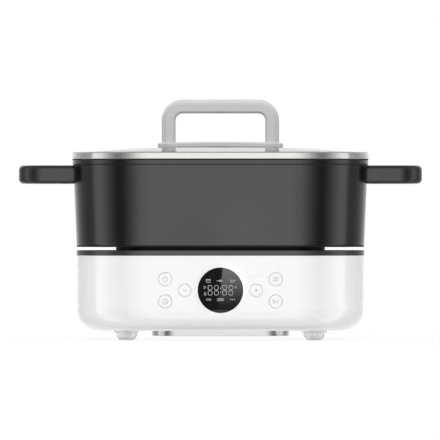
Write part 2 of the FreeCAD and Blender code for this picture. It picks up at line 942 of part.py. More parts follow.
def make_wiring():
    pin_end = back_y - inlet_depth - pin_tail
    pin_z = inlet_height - pin_half_height
    turn_y = pin_end - 2 * lead_bend
    leads = []
    for sx in (-1, 1):
        mains = [
            point(sx * pin_spacing, pin_end, pin_z),
            point(sx * pin_spacing, turn_y, pin_z),
            point(sx * pin_spacing, turn_y, lead_height),
            point(sx * pin_spacing, terminal_back, lead_height),
        ]
        leads.append(tube_along(mains, lead_radius, lead_bend))
        end_y = core_y + element_place
        heater = [
            point(sx * element_end_x, end_y, reflector_bottom - element_tail),
            point(sx * element_end_x, end_y, lead_height),
            point(sx * element_end_x, terminal_back, lead_height),
        ]
        leads.append(tube_along(heater, lead_radius, lead_bend))
    header_z = power_board_top + header_height / 2
    panel_z = panel_header_bottom + header_height / 2
    panel_y = control_board_front + board_thickness + header_depth
    middle_y = (panel_y - power_board_half_y) / 2
    if abs(panel_z - header_z) > fit_gap:
        rise = panel_z - header_z
        run = max(abs(rise), ribbon_least_run)
        ribbon = [
            point(0, -power_board_half_y, header_z),
            point(0, middle_y + run / 2, header_z),
            point(0, middle_y - run / 2, panel_z),
            point(0, panel_y, panel_z),
        ]
        leads.append(tube_along(ribbon, ribbon_radius, lead_bend / 2))
    else:
        start = point(0, -power_board_half_y, header_z)
        leads.append(rod(ribbon_radius, start, point(0, panel_y, header_z)))
    return Part.makeCompound(leads)


def make_foot(x, y):
    """Push-in foot: rounded pad, collar under the floor and a tapered barb above it."""
    collar_bottom = ground_gap - foot_collar_thickness
    pad_edge = []
    for step in range(foot_round_steps + 1):
        angle = step / foot_round_steps * math.pi / 2
        radius = foot_radius - foot_round * (1 - math.sin(angle))
        pad_edge.append((radius, foot_round * (1 - math.cos(angle))))
    foot = profile_face([(0, 0)] + pad_edge + [
        (foot_radius, collar_bottom),
        (foot_collar_radius, collar_bottom), (foot_collar_radius, ground_gap),
        (foot_neck_radius, ground_gap), (foot_neck_radius, floor_top),
        (foot_barb_radius, floor_top), (0, floor_top + foot_barb_height),
    ]).revolve(point(0, 0, 0), point(0, 0, 1), 360)
    foot.translate(point(x, y, 0))
    return foot


# Pot

def pot_outer_corner(z):
    """Corner radius of the tapered outer wall at a height."""
    share = (z - pot_bottom) / (groove_bottom - pot_bottom)
    return pot_foot_corner + share * (pot_top_corner - pot_foot_corner)


def make_pot_body():
    recess = neck_corner + pot_seat_gap
    groove_corner = pot_top_corner - groove_depth
    inner_low = pot_outer_corner(pot_floor_top) - pot_wall
    pot = around_core([
        (0, plate_top), (recess, plate_top), (recess, pot_bottom),
        (pot_foot_corner, pot_bottom, pot_foot_round), (pot_top_corner, groove_bottom),
        (groove_corner, groove_bottom), (groove_corner, band_bottom), (pot_rim_corner, band_bottom),
        (pot_rim_corner, pot_top, rim_round), (pot_top_inner_corner, pot_top),
        (inner_low, pot_floor_top, pot_inner_round), (0, pot_floor_top),
    ])
    lugs = []
    for sx in (-1, 1):
        for sy in (-1, 1):
            lug = lug_block(0)
            lugs.append(lug.mirror(point(0, 0, 0), point(1, 0, 0)) if sx < 0 else lug)
            if sy < 0:
                lugs[-1] = lugs[-1].mirror(point(0, 0, 0), point(0, 1, 0))
    pot = joined([pot] + lugs)
    holes = []
    for x, y in handle_screw_places():
        top = handle_middle + lug_height / 2 - lug_cover
        holes.append(upright(m4["shank"] + thread_gap, x, y, handle_bottom, top))
    return pot.cut(holes)


def lug_block(gap):
    """Right rear lug, grown by a gap all round for its socket."""
    start = core_x + pot_outer_corner(handle_middle) - pot_wall / 2
    end = core_x + pot_outer_corner(handle_middle) + lug_length + 2 * gap
    half_y = lug_width / 2 + gap
    half_z = lug_height / 2 + gap
    return block(start, end, lug_y - half_y, lug_y + half_y,
                 handle_middle - half_z, handle_middle + half_z)


def handle_screw_places():
    x = core_x + pot_outer_corner(handle_middle) + handle_screw_place
    return [(sx * x, sy * lug_y) for sx, sy in four_corners]


def make_handle():
    """Right-hand loop, its two arms trimmed to the pot's wall and hollow over the lugs."""
    root_x = core_x
    middle_x = (root_x + handle_tip) / 2 - handle_corner
    half_x = (handle_tip - root_x) / 2 + handle_corner
    inner_half_x = half_x - handle_bar
    inner_half_y = handle_half_y - handle_bar
    inner_corner = handle_corner - handle_bar
    outer = rounded_prism(half_x, handle_half_y, handle_corner, handle_bottom, handle_top)
    inner = rounded_prism(inner_half_x, inner_half_y, inner_corner,
                          handle_bottom - overrun, handle_top + overrun)
    loop = outer.cut(inner)
    rims = level_edges(loop, handle_bottom) + level_edges(loop, handle_top)
    loop = loop.makeFillet(handle_round, rims)
    loop.translate(point(middle_x, 0, 0))
    foot = pot_foot_corner + handle_seat_gap
    top = pot_top_corner + handle_seat_gap
    pot = around_core([(0, pot_bottom), (foot, pot_bottom), (top, groove_bottom), (0, groove_bottom)])
    cuts = [pot, block(-handle_tip, root_x, -handle_tip, handle_tip, 0, grip_top)]
    socket = lug_block(lug_gap)
    cuts += [socket, socket.mirror(point(0, 0, 0), point(0, 1, 0))]
    for x, y in handle_screw_places():
        seat = handle_bottom + handle_screw_sink
        cuts.append(upright(m4["head"] + head_gap, x, y, 0, seat))
        cuts.append(upright(m4["shank"] + clearance_hole, x, y, 0, handle_middle))
    return loop.cut(cuts)


def make_handle_screws(side):
    seat = handle_bottom + handle_screw_sink
    tip = handle_middle + lug_height / 2 - tip_gap
    screws = []
    for x, y in handle_screw_places():
        if x * side > 0:
            screws.append(screw(m4, point(x, y, seat), point(x, y, tip)))
    return Part.makeCompound(screws)


# Lid

def dome_outline(share, lift):
    """Level outline of the dome, a share of its edge outline, at the dome's height there."""
    z = glass_top + lift + dome_rise * (1 - share ** dome_power)
    half_x = (core_x + dome_corner) * share
    half_y = (core_y + dome_corner) * share
    return rounded_outline(half_x, half_y, dome_corner * share, z)


def dome_block(lift):
    return Part.makeLoft([dome_outline(share, lift) for share in dome_sections], True, False)


def glass_body():
    """The glass before its void and holes."""
    return tier(glass_corner, glass_bottom, glass_top).fuse(dome_block(0))


def vent_placing():
    """Height of the glass at the vent and its slope there, in degrees."""
    reach = core_y + dome_corner
    share = vent_y / reach
    z = glass_top + dome_rise * (1 - share ** dome_power)
    slope = dome_rise * dome_power * share ** (dome_power - 1) / reach
    return z, math.degrees(math.atan(slope))


def tilted_with_vent(shape):
    """Move a shape made upright at the origin to the vent's place on the glass."""
    z, slope = vent_placing()
    shape.rotate(point(0, 0, 0), point(1, 0, 0), -slope)
    shape.translate(point(0, vent_y, z))
    return shape


def make_lid_glass():
    holes = [dome_block(-glass_thickness)]
    for sx in (-1, 1):
        radius = m5["shank"] + 2 * clearance_hole
        holes.append(upright(radius, sx * grip_leg_x, 0, glass_bottom, grip_top))
    vent_hole = upright(vent_radius + clearance_hole, 0, 0, -3 * glass_thickness, glass_thickness)
    holes.append(tilted_with_vent(vent_hole))
    return glass_body().cut(holes)


def make_lid_rim():
    """Folded band: channel round the glass, with a skirt that drops inside the pot's mouth."""
    skirt_bottom = pot_top - skirt_depth
    skirt_inner = skirt_corner - skirt_sheet
    channel = lid_rim_corner - lid_sheet
    return around_core([
        (skirt_inner, skirt_bottom), (skirt_corner, skirt_bottom), (skirt_corner, seal_top),
        (lid_rim_corner, seal_top), (lid_rim_corner, lid_rim_top, lid_edge_round),
        (lip_corner, lid_rim_top), (lip_corner, glass_top), (channel, glass_top),
        (channel, glass_bottom), (skirt_inner, glass_bottom),
    ])


def make_lid_seal():
    return tier_ring(pot_rim_corner, skirt_corner + fit_gap, pot_top, seal_top)


def bowed_slab(half_x, low, low_bow, high, high_bow, half_y):
    """Slab whose faces sag by a bow at half_x from the middle; it runs on past that for a trim."""
    spare = 1.2
    end = half_x * spare
    depth = half_y * spare
    under_end = low - low_bow * spare ** 2
    upper_end = high - high_bow * spare ** 2
    under = [point(-end, -depth, under_end), point(0, -depth, low), point(end, -depth, under_end)]
    upper = [point(-end, -depth, upper_end), point(0, -depth, high), point(end, -depth, upper_end)]
    edges = [
        face_line(under),
        Part.LineSegment(under[2], upper[2]).toShape(),
        face_line(upper),
        Part.LineSegment(upper[0], under[0]).toShape(),
    ]
    return Part.Face(Part.Wire(edges)).extrude(point(0, 2 * depth, 0))


def face_line(points):
    """Arc through three points, or a straight line where they don't bow."""
    if points[0].z == points[1].z:
        return Part.LineSegment(points[0], points[2]).toShape()
    return Part.Arc(*points).toShape()


def make_handle_base():
    slab = bowed_slab(plate_half_x, grip_plate_bottom, plate_underside_bow,
                      grip_plate_top, plate_bow, plate_half_y)
    plan = rounded_prism(plate_half_x, plate_half_y, plate_corner, glass_top, grip_top)
    plate = slab.common(plan)
    upper = [edge for edge in plate.Edges if edge.BoundBox.ZMin > grip_plate_top - plate_bow - fit_gap]
    plate = plate.makeFillet(plate_edge_round, upper)
    holes = []
    for sx in (-1, 1):
        radius = m5["shank"] + clearance_hole
        holes.append(upright(radius, sx * grip_leg_x, 0, glass_top, grip_top))
    return plate.cut(holes)


def make_handle_gasket():
    half_x = plate_half_x - gasket_inset
    half_y = plate_half_y - gasket_inset
    share = half_x / plate_half_x
    slab = bowed_slab(half_x, glass_top, 0, grip_plate_bottom, plate_underside_bow * share ** 2, half_y)
    plan = rounded_prism(half_x, half_y, plate_corner - gasket_inset, glass_top, grip_top)
    holes = [glass_body()]
    for sx in (-1, 1):
        radius = m5["shank"] + clearance_hole
        holes.append(upright(radius, sx * grip_leg_x, 0, glass_bottom, grip_top))
    return slab.common(plan).cut(holes)


def make_lid_handle():
    """Arch handle: two legs on the base plate and a bar across them."""
    low = grip_plate_bottom
    height = grip_top - low
    outer = standing_outline(grip_half_x, grip_top - 2 * height, grip_top, grip_corner)
    inner_half = grip_half_x - grip_bar
    inner_top = grip_top - grip_bar
    inner = standing_outline(inner_half, grip_top - 2 * height, inner_top, grip_inner_corner)
    arch = outer.cut(inner)
    arch = arch.common(block(-grip_half_x, grip_half_x, -grip_half_y, grip_half_y, low, grip_top))
    arch = round_grip(arch)
    holes = []
    for sx in (-1, 1):
        top = grip_plate_top + grip_height / 2
        holes.append(upright(m5["shank"] + thread_gap, sx * grip_leg_x, 0, low - overrun, top))
    plate = bowed_slab(plate_half_x, glass_top, 0, grip_plate_top, plate_bow, plate_half_y)
    return arch.cut([plate] + holes)


def standing_outline(half_x, low, high, corner):
    """Rounded rectangle standing in the X-Z plane, as deep as the grip."""
    shape = rounded_prism(half_x, (high - low) / 2, corner, -grip_half_y, grip_half_y)
    shape.rotate(point(0, 0, 0), point(1, 0, 0), 90)
    shape.translate(point(0, 0, (high + low) / 2))
    return shape


def round_grip(arch):
    """Round the grip's outer edges, then the edges round the finger opening."""
    def front_and_back(shape, inside):
        found = []
        for edge in shape.Edges:
            box = edge.BoundBox
            flat = abs(box.YMin - box.YMax) < 1e-4 and abs(abs(box.YMin) - grip_half_y) < 1e-4
            middle = edge.valueAt((edge.FirstParameter + edge.LastParameter) / 2)
            limit = grip_half_x - grip_bar / 2
            within = abs(middle.x) < limit and middle.z < grip_top - grip_bar / 2
            if flat and within == inside and box.ZMax > grip_plate_top:
                found.append(edge)
        return found
    arch = arch.makeFillet(grip_round, front_and_back(arch, False))
    return arch.makeFillet(grip_inner_round, front_and_back(arch, True))


def washer_top():
    share = grip_leg_x / (core_x + dome_corner)
    return glass_bottom + dome_rise * (1 - share ** dome_power)


def make_lid_washers():
    washers = []
    for sx in (-1, 1):
        x = sx * grip_leg_x
        pad = upright(washer_radius, x, 0, washer_top() - washer_thickness, washer_top() + overrun)
        pad = pad.cut(upright(m5["shank"] + clearance_hole, x, 0, glass_bottom, grip_top))
        washers.append(pad)
    glass = glass_body().cut(dome_block(-glass_thickness))
    return Part.makeCompound([pad.cut(glass) for pad in washers])


def make_lid_screws():
    seat = washer_top() - washer_thickness
    tip = grip_plate_top + grip_height / 2 - tip_gap
    screws = []
    for sx in (-1, 1):
        x = sx * grip_leg_x
        screws.append(screw(m5, point(x, 0, seat), point(x, 0, tip)))
    return Part.makeCompound(screws)


def make_steam_vent():
    """Eyelet through the glass, with a flange above and below it."""
    seat = thread_gap
    flange = vent_flange_thickness
    upper = upright(vent_flange_radius, 0, 0, seat, seat + flange)
    low = -glass_thickness - seat
    lower = upright(vent_flange_radius, 0, 0, low - flange, low)
    neck = upright(vent_radius, 0, 0, low, seat)
    bore = upright(vent_bore, 0, 0, -3 * glass_thickness, glass_thickness)
    return tilted_with_vent(joined([upper, neck, lower]).cut(bore))


def make_parts():
    parts = {
        "base_housing": make_base_housing(),
        "top_deck": make_top_deck(),
        "plate_seal": make_plate_seal(),
        "hot_plate": make_hot_plate(),
        "heating_element": make_heating_element(),
        "heat_reflector": make_heat_reflector(),
        "plate_screws": make_plate_screws(),
        "sensor_bracket": make_sensor_bracket(),
        "sensor_spring": make_sensor_spring(),
        "sensor_cap": make_sensor_cap(),
        "tact_switches": make_tact_switches(),
        "control_board": make_control_board(),
        "control_board_screws": make_control_board_screws(),
        "display_window": make_display_window(),
        "display_module": make_display_module(),
        "inlet_socket": make_inlet_socket(),
        "inlet_pins": make_inlet_pins(),
        "inlet_screws": make_inlet_screws(),
        "bottom_cover": make_bottom_cover(),
        "cover_screws": make_cover_screws(),
        "deck_screws": make_deck_screws(),
        "power_board": make_power_board(),
        "power_board_screws": make_power_board_screws(),
        "board_components": make_board_components(),
        "wiring": make_wiring(),
        "pot_body": make_pot_body(),
        "handle_screws_left": make_handle_screws(-1),
        "handle_screws_right": make_handle_screws(1),
        "lid_glass": make_lid_glass(),
        "lid_rim": make_lid_rim(),
        "lid_seal": make_lid_seal(),
        "handle_base": make_handle_base(),
        "handle_gasket": make_handle_gasket(),
        "lid_handle": make_lid_handle(),
        "lid_washers": make_lid_washers(),
        "lid_screws": make_lid_screws(),
        "steam_vent": make_steam_vent(),
    }
    for name, x, z, radius in key_places():
        parts[name] = make_key(x, z, radius)
    for name, (x, y) in foot_places().items():
        parts[name] = make_foot(x, y)
    right = make_handle()
    parts["handle_right"] = right
    parts["handle_left"] = right.mirror(point(0, 0, 0), point(1, 0, 0))
    return parts


os.makedirs("parts", exist_ok=True)
for name, shape in make_parts().items():
    if not shape.isValid():
        print(name, "is not a valid shape")
    shape.exportStep(f"parts/{name}.step")
    print(name, len(shape.Solids), "solid,", round(shape.Volume), "mm3")
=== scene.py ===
import math

import bmesh
import bpy
from mathutils import Matrix, Vector


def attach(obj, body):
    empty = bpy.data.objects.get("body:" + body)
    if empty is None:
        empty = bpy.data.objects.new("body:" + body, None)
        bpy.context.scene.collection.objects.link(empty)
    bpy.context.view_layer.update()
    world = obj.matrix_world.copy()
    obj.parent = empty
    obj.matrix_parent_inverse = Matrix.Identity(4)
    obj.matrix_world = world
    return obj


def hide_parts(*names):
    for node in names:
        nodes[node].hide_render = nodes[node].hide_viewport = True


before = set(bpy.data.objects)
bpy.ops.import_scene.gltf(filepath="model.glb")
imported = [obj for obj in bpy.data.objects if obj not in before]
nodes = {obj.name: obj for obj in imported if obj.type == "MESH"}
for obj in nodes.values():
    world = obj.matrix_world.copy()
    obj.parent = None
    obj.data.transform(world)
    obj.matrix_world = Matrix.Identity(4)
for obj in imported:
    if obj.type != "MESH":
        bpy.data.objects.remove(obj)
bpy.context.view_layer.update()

# Electric hot pot with a lift-off pot and lid, in metres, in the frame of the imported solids.
mm = 0.001

# Plan shape: a core rectangle, grown outwards by each tier's corner radius
core_x = 72.0 * mm
core_y = 44.0 * mm
base_corner = 71.0 * mm
front_y = -(core_y + base_corner)

# Front panel: a round display with three keys on each side
panel_z = 50.0 * mm
window_radius = 22.5 * mm
side_key_x = 54.5 * mm
side_key_rise = 11.0 * mm
side_key_radius = 6.9 * mm
step_key_x = 35.2 * mm
step_key_radius = 6.5 * mm

# Print: flat lines just in front of the panel
print_lift = 0.04 * mm
print_thickness = 0.03 * mm
print_y = front_y - print_lift
key_line = 0.5 * mm
digit_line = 0.45 * mm
colon_line = 0.3 * mm
mark_line = 0.35 * mm
picture_line = 0.42 * mm
mitre_limit = 0.6
end_steps = 3
ring_steps = 48
dot_steps = 8

# Display: four digits of two loops each, and three pictures in a row above and below
digit_places = (-10.2 * mm, -4.0 * mm, 4.0 * mm, 10.2 * mm)
digit_half_x = 2.0 * mm
loop_half_z = 2.2 * mm
loop_rise = 2.6 * mm
loop_corner = 1.6 * mm
picture_rise = 9.2 * mm
picture_places = (-12.0 * mm, 0.0, 12.0 * mm)

# Lid: the hem under its steel band, and a painted shade line round its glass at the top of the band
lid_rim_corner = 75.8 * mm
hem_inset = 0.03 * mm
hem_height = 1.4 * mm
hem_depth = 0.9 * mm
hem_edge = 0.2 * mm
hem_bottom = 180.0 * mm
rim_top = 186.4 * mm
join_shade_radius = 0.5 * mm
join_shade_inset = 1.4 * mm
join_shade_drop = 0.15 * mm

# Pot: a painted shadow under its rim band, and a painted shade line at its foot
pot_band_bottom = 174.9 * mm
pot_wall_corner = 74.2 * mm
rim_shadow_height = 0.9 * mm
rim_shadow_reach = 0.5 * mm
rim_shadow_bite = 0.6 * mm
rim_shadow_slope_out = 0.2 * mm
rim_shadow_slope_up = 0.3 * mm
pot_foot_corner = 71.0 * mm
pot_foot_bottom = 92.6 * mm
foot_shade_height = 1.3 * mm
foot_shade_reach = 0.1 * mm
foot_shade_bite = 1.5 * mm
foot_shade_gap = 0.05 * mm
foot_shade_slope_out = 0.5 * mm
foot_shade_slope_up = 0.6 * mm

# Feet: a collar under the base, then a rounded button on the table
foot_x = 93.3 * mm
foot_y = 60.0 * mm
collar_radius = 12.0 * mm
collar_bottom = 7.7 * mm
collar_edge = 0.35 * mm
button_radius = 9.6 * mm
button_flat = 4.5 * mm
button_height_share = 0.95
button_steps = 8
button_flare = 0.1 * mm
foot_top = 9.65 * mm
stem_radius = 3.5 * mm
stem_top = 16.9 * mm

# Screw heads that show: the centre of a head's face on the right, and the heads' radii
inlet_screw = (18.0 * mm, 119.4 * mm, 50.0 * mm)
cover_screw = (63.2 * mm, 20.0 * mm, 4.3 * mm)
handle_screw = (156.0 * mm, 39.5 * mm, 155.6 * mm)
lid_screw = (51.7 * mm, 0.0, 183.57 * mm)
m3_head = 2.8 * mm
m4_head = 3.8 * mm
m5_head = 4.6 * mm
cross_arm_share = 0.55
cross_half_share = 0.13

# Camera: level, far away and with a long lens, as in the photograph
frame_width = 0.44
camera_distance = 9.0
aim_x = -0.00045
aim_z = 0.1194
sensor_width = 36.0

# Floor and the card that the display mirrors
floor_radius = 0.75
floor_glow_share = 0.92
card_distance = 0.5
card_radius = 26.0 * mm
card_slant = 0.105
card_shift = 0.2 * mm
card_edge = 0.4 * mm
card_dim = 0.12
card_fade_bottom = -0.9 * window_radius
card_low = 0.1
card_high = 3.4

# Brightness of the surround, by degrees round from the front
surround = ((0, 1.0), (8, 0.90), (20, 0.60), (31, 0.26), (42, 0.08), (50, 0.09), (62, 0.34),
            (78, 0.82), (92, 0.90), (95, 0.24), (118, 0.26), (140, 0.50), (165, 1.0))

# The surround fades to these levels overhead and underneath, between these heights of direction
overhead_level = 0.3
overhead_heights = (0.45, 0.8)
underneath_level = 0.35
underneath_heights = (-0.76, -0.86)

# Soft lamps: name, place, width and height, watts
lamps = (("front_lamp", (0, -3.0, 0.45), (3.0, 0.8), 20.0),
         ("top_lamp", (0, -0.6, 2.6), (2.2, 2.2), 54.0),
         ("back_lamp", (0, 3.0, 0.9), (3.0, 1.6), 14.0),
         ("left_lamp", (-3.0, -0.4, 0.6), (2.0, 1.1), 20.0),
         ("right_lamp", (3.0, -0.4, 0.6), (2.0, 1.1), 20.0))


# Node graphs

def new_material(name):
    material = bpy.data.materials.new(name)
    material.use_nodes = True
    graph = material.node_tree
    return material, graph, graph.nodes["Principled BSDF"]


def add(graph, kind, **settings):
    node = graph.nodes.new(kind)
    for key, value in settings.items():
        setattr(node, key, value)
    return node


def feed(graph, socket, value):
    """Give a socket a constant, or link it to the output of another node."""
    if isinstance(value, bpy.types.NodeSocket):
        graph.links.new(value, socket)
    else:
        socket.default_value = value


def calculate(graph, operation, *values):
    """Result of a math node over constants and outputs of other nodes."""
    node = add(graph, "ShaderNodeMath", operation=operation)
    for socket, value in zip(node.inputs, values):
        feed(graph, socket, value)
    return node.outputs[0]


def blend(graph, share, one, other):
    """Colour between two others, by a share from 0 to 1."""
    node = add(graph, "ShaderNodeMix", data_type="RGBA")
    feed(graph, node.inputs["Factor"], share)
    feed(graph, node.inputs[6], one)
    feed(graph, node.inputs[7], other)
    return node.outputs[2]


def spread(graph, source, low, high, start=0.0, end=1.0, curve="LINEAR"):
    """Map a pattern that runs from start to end to the range from low to high."""
    node = add(graph, "ShaderNodeMapRange", interpolation_type=curve)
    node.inputs["From Min"].default_value = start
    node.inputs["From Max"].default_value = end
    node.inputs["To Min"].default_value = low
    node.inputs["To Max"].default_value = high
    graph.links.new(source, node.inputs["Value"])
    return node.outputs["Result"]


def noise(graph, scale, detail=2.0, roughness=0.5, stretch=None):
    """Noise over the object's own coordinates, stretched along an axis where that is given."""
    place = add(graph, "ShaderNodeTexCoord")
    source = place.outputs["Object"]
    if stretch:
        mapping = add(graph, "ShaderNodeMapping")
        mapping.inputs["Scale"].default_value = stretch
        graph.links.new(source, mapping.inputs["Vector"])
        source = mapping.outputs["Vector"]
    texture = add(graph, "ShaderNodeTexNoise")
    texture.inputs["Scale"].default_value = scale
    texture.inputs["Detail"].default_value = detail
    texture.inputs["Roughness"].default_value = roughness
    graph.links.new(source, texture.inputs["Vector"])
    return texture.outputs["Fac"]


def bump(graph, shader, source, strength, depth):
    node = add(graph, "ShaderNodeBump")
    node.inputs["Strength"].default_value = strength
    node.inputs["Distance"].default_value = depth
    graph.links.new(source, node.inputs["Height"])
    graph.links.new(node.outputs["Normal"], shader.inputs["Normal"])


def coordinates(graph, kind):
    """Outputs X, Y and Z of a texture coordinate."""
    place = add(graph, "ShaderNodeTexCoord")
    split = add(graph, "ShaderNodeSeparateXYZ")
    graph.links.new(place.outputs[kind], split.inputs[0])
    return split.outputs


def grey(level):
    return (level, level, level, 1)


# Materials

def finish_material(name, colour, metallic=0.0, roughness=0.4, wobble=0.04, shade=0.06,
                    grain=900.0, grain_depth=0.02 * mm, grain_strength=0.3, stretch=None, ior=1.5,
                    coat=0.0):
    """Principled finish with its own fine grain, slight shade changes and uneven gloss."""
    material, graph, shader = new_material(name)
    shader.inputs["Metallic"].default_value = metallic
    shader.inputs["IOR"].default_value = ior
    shader.inputs["Coat Weight"].default_value = coat
    broad = noise(graph, scale=14.0, detail=3.0)
    fine = noise(graph, scale=grain, detail=3.0, roughness=0.6, stretch=stretch)
    dark = [channel * (1 - shade) for channel in colour]
    light = [min(1.0, channel * (1 + shade)) for channel in colour]
    graph.links.new(blend(graph, broad, (*dark, 1), (*light, 1)), shader.inputs["Base Color"])
    gloss = spread(graph, fine, roughness - wobble, roughness + wobble)
    graph.links.new(gloss, shader.inputs["Roughness"])
    bump(graph, shader, fine, grain_strength, grain_depth)
    return material


def frosted_silicone():
    """Milky silicone that lets the floor's light through."""
    material, graph, shader = new_material("foot_silicone")
    shader.inputs["Base Color"].default_value = grey(0.99)
    shader.inputs["Transmission Weight"].default_value = 0.75
    shader.inputs["IOR"].default_value = 1.12
    fine = noise(graph, scale=500.0, detail=3.0)
    graph.links.new(spread(graph, fine, 0.30, 0.42), shader.inputs["Roughness"])
    bump(graph, shader, fine, strength=0.2, depth=0.02 * mm)
    return material


def clear_glass():
    material, graph, shader = new_material("lid_glass")
    shader.inputs["Base Color"].default_value = (0.93, 0.95, 0.94, 1)
    shader.inputs["Transmission Weight"].default_value = 1.0
    shader.inputs["IOR"].default_value = 1.45
    gloss = spread(graph, noise(graph, scale=40.0), 0.01, 0.05)
    graph.links.new(gloss, shader.inputs["Roughness"])
    return material


base_white = finish_material("base_white", (0.86, 0.86, 0.855), roughness=0.06, shade=0.006,
                             wobble=0.015, grain_strength=0.02, ior=1.9, coat=1.0)
deck_black = finish_material("deck_black", (0.125, 0.125, 0.127), metallic=0.9, roughness=0.32)
pot_coating = finish_material("pot_coating", (0.103, 0.103, 0.105), metallic=1.0, roughness=0.21,
                              shade=0.03, wobble=0.02, grain_strength=0.1)
handle_black = finish_material("handle_black", (0.098, 0.098, 0.10), metallic=0.95, roughness=0.30)
rim_steel = finish_material("rim_steel", (0.86, 0.85, 0.83), metallic=0.88, roughness=0.16,
                            shade=0.02, grain=2500.0, stretch=(0.02, 0.02, 1.0))
handle_silver = finish_material("handle_silver", (0.60, 0.60, 0.60), roughness=0.24, shade=0.02,
                                ior=1.7, coat=1.0)
# Black of the real rubber seals, and also of the painted shade ring round the lid's glass.
seal_black = finish_material("seal_black", (0.02, 0.02, 0.02), roughness=0.6)
# Near-black matte for painted shade: under the pot's rim band, along its foot and in the screw
# heads' cross recesses.
painted_shade_black = finish_material("painted_shade_black", (0.008, 0.008, 0.008), roughness=0.7)
plate_black = finish_material("plate_black", (0.022, 0.022, 0.023), metallic=0.4, roughness=0.4)
window_black = finish_material("window_black", (0.006, 0.006, 0.007), roughness=0.02,
                               wobble=0.005, grain_strength=0.0)
tray_metal = finish_material("tray_metal", (0.95, 0.95, 0.95), metallic=1.0, roughness=0.26,
                             shade=0.01)
print_grey = finish_material("print_grey", (0.68, 0.68, 0.68), roughness=0.5, shade=0.03)
print_dark = finish_material("print_dark", (0.40, 0.40, 0.40), roughness=0.5, shade=0.03)
print_light = finish_material("print_light", (0.52, 0.53, 0.54), roughness=0.5, shade=0.03)
inner_steel = finish_material("inner_steel", (0.55, 0.55, 0.56), metallic=1.0, roughness=0.35)
inner_black = finish_material("inner_black", (0.04, 0.04, 0.042), roughness=0.5)
board_green = finish_material("board_green", (0.03, 0.14, 0.06), roughness=0.4)
pin_brass = finish_material("pin_brass", (0.78, 0.66, 0.42), metallic=1.0, roughness=0.25)
foot_silicone = frosted_silicone()
lid_glass = clear_glass()


def dress(material, *names):
    for name in names:
        data = nodes[name].data
        data.materials.clear()
        data.materials.append(material)


dress(base_white, "base_housing", "key_power", "key_timer", "key_mode", "key_start", "key_minus",
      "key_plus")
dress(tray_metal, "bottom_cover")
dress(plate_black, "hot_plate", "sensor_cap")
dress(deck_black, "top_deck")
dress(pot_coating, "pot_body")
dress(handle_black, "handle_left", "handle_right")
dress(rim_steel, "lid_rim", "steam_vent")
dress(handle_silver, "lid_handle", "handle_base")
dress(seal_black, "lid_seal", "plate_seal", "handle_gasket", "lid_washers")
dress(foot_silicone, "foot_front_left", "foot_front_right", "foot_rear_left", "foot_rear_right")
dress(window_black, "display_window")
dress(lid_glass, "lid_glass")
dress(inner_steel, "heating_element", "heat_reflector", "plate_screws", "sensor_bracket",
      "sensor_spring", "control_board_screws", "inlet_screws", "cover_screws", "deck_screws",
      "power_board_screws", "handle_screws_left", "handle_screws_right", "lid_screws")
dress(inner_black, "tact_switches", "display_module", "inlet_socket", "board_components", "wiring")
dress(board_green, "control_board", "power_board")
dress(pin_brass, "inlet_pins")


# Pieces that only the looks need

def place_piece(name, shape, material, body, thickness=0.0):
    """Turn a mesh into a piece that rides on a body."""
    bmesh.ops.recalc_face_normals(shape, faces=shape.faces)
    mesh = bpy.data.meshes.new(name)
    shape.to_mesh(mesh)
    shape.free()
    for face in mesh.polygons:
        face.use_smooth = True
    mesh.set_sharp_from_angle(angle=math.radians(40))
    mesh.materials.append(material)
    piece = bpy.data.objects.new(name, mesh)
    bpy.context.scene.collection.objects.link(piece)
    if thickness:
        thicken = piece.modifiers.new("thickness", "SOLIDIFY")
        thicken.thickness = thickness
        thicken.offset = 0.0
    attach(piece, body)
    return piece


def quads_between(shape, ring, other):
    """Faces between two closed rings with the same number of points."""
    for step in range(len(ring)):
        following = (step + 1) % len(ring)
        shape.faces.new((ring[step], ring[following], other[following], other[step]))


def plan_outline(corner, steps=16):
    """Rounded plan outline: the core rectangle grown outwards by a corner radius."""
    points = []
    for side_x, side_y, start in ((1, 1, 0), (-1, 1, 90), (-1, -1, 180), (1, -1, 270)):
        for step in range(steps + 1):
            turn = math.radians(start + 90 * step / steps)
            points.append((side_x * core_x + corner * math.cos(turn),
                           side_y * core_y + corner * math.sin(turn)))
    return points


def band(shape, profile):
    """Closed moulding round the plan outline from a profile of corner radius and height."""
    rings = [[shape.verts.new((x, y, height)) for x, y in plan_outline(corner)]
             for corner, height in profile]
    for index, ring in enumerate(rings):
        quads_between(shape, ring, rings[(index + 1) % len(rings)])


def round_profile(corner, height, radius, steps=12):
    turns = [math.tau * step / steps for step in range(steps)]
    return [(corner + radius * math.cos(turn), height + radius * math.sin(turn)) for turn in turns]


def make_lid_hem():
    shape = bmesh.new()
    outer = lid_rim_corner - hem_inset
    inner = outer - hem_depth
    hem_top = hem_bottom + hem_height
    band(shape, [(inner, hem_bottom), (outer - hem_edge, hem_bottom),
                 (outer, hem_bottom + hem_edge), (outer, hem_top), (inner, hem_top)])
    place_piece("lid_rim_hem", shape, rim_steel, "lid")


def make_glass_join_shade():
    # Black ring painted where the band's top lip meets the glass, as the shade along that join.
    shape = bmesh.new()
    band(shape, round_profile(lid_rim_corner - join_shade_inset, rim_top - join_shade_drop, join_shade_radius))
    place_piece("lid_glass_join_shade", shape, seal_black, "lid")


def make_rim_shadow_band():
    # Near-black band painted where the rim band's shadow falls on the pot wall.
    shape = bmesh.new()
    inner = pot_wall_corner - rim_shadow_bite
    outer = pot_wall_corner + rim_shadow_reach
    low = pot_band_bottom - rim_shadow_height
    band(shape, [(inner, low), (outer - rim_shadow_slope_out, low), (outer, low + rim_shadow_slope_up),
                 (outer, pot_band_bottom), (inner, pot_band_bottom)])
    place_piece("pot_rim_painted_shadow", shape, painted_shade_black, "pot")


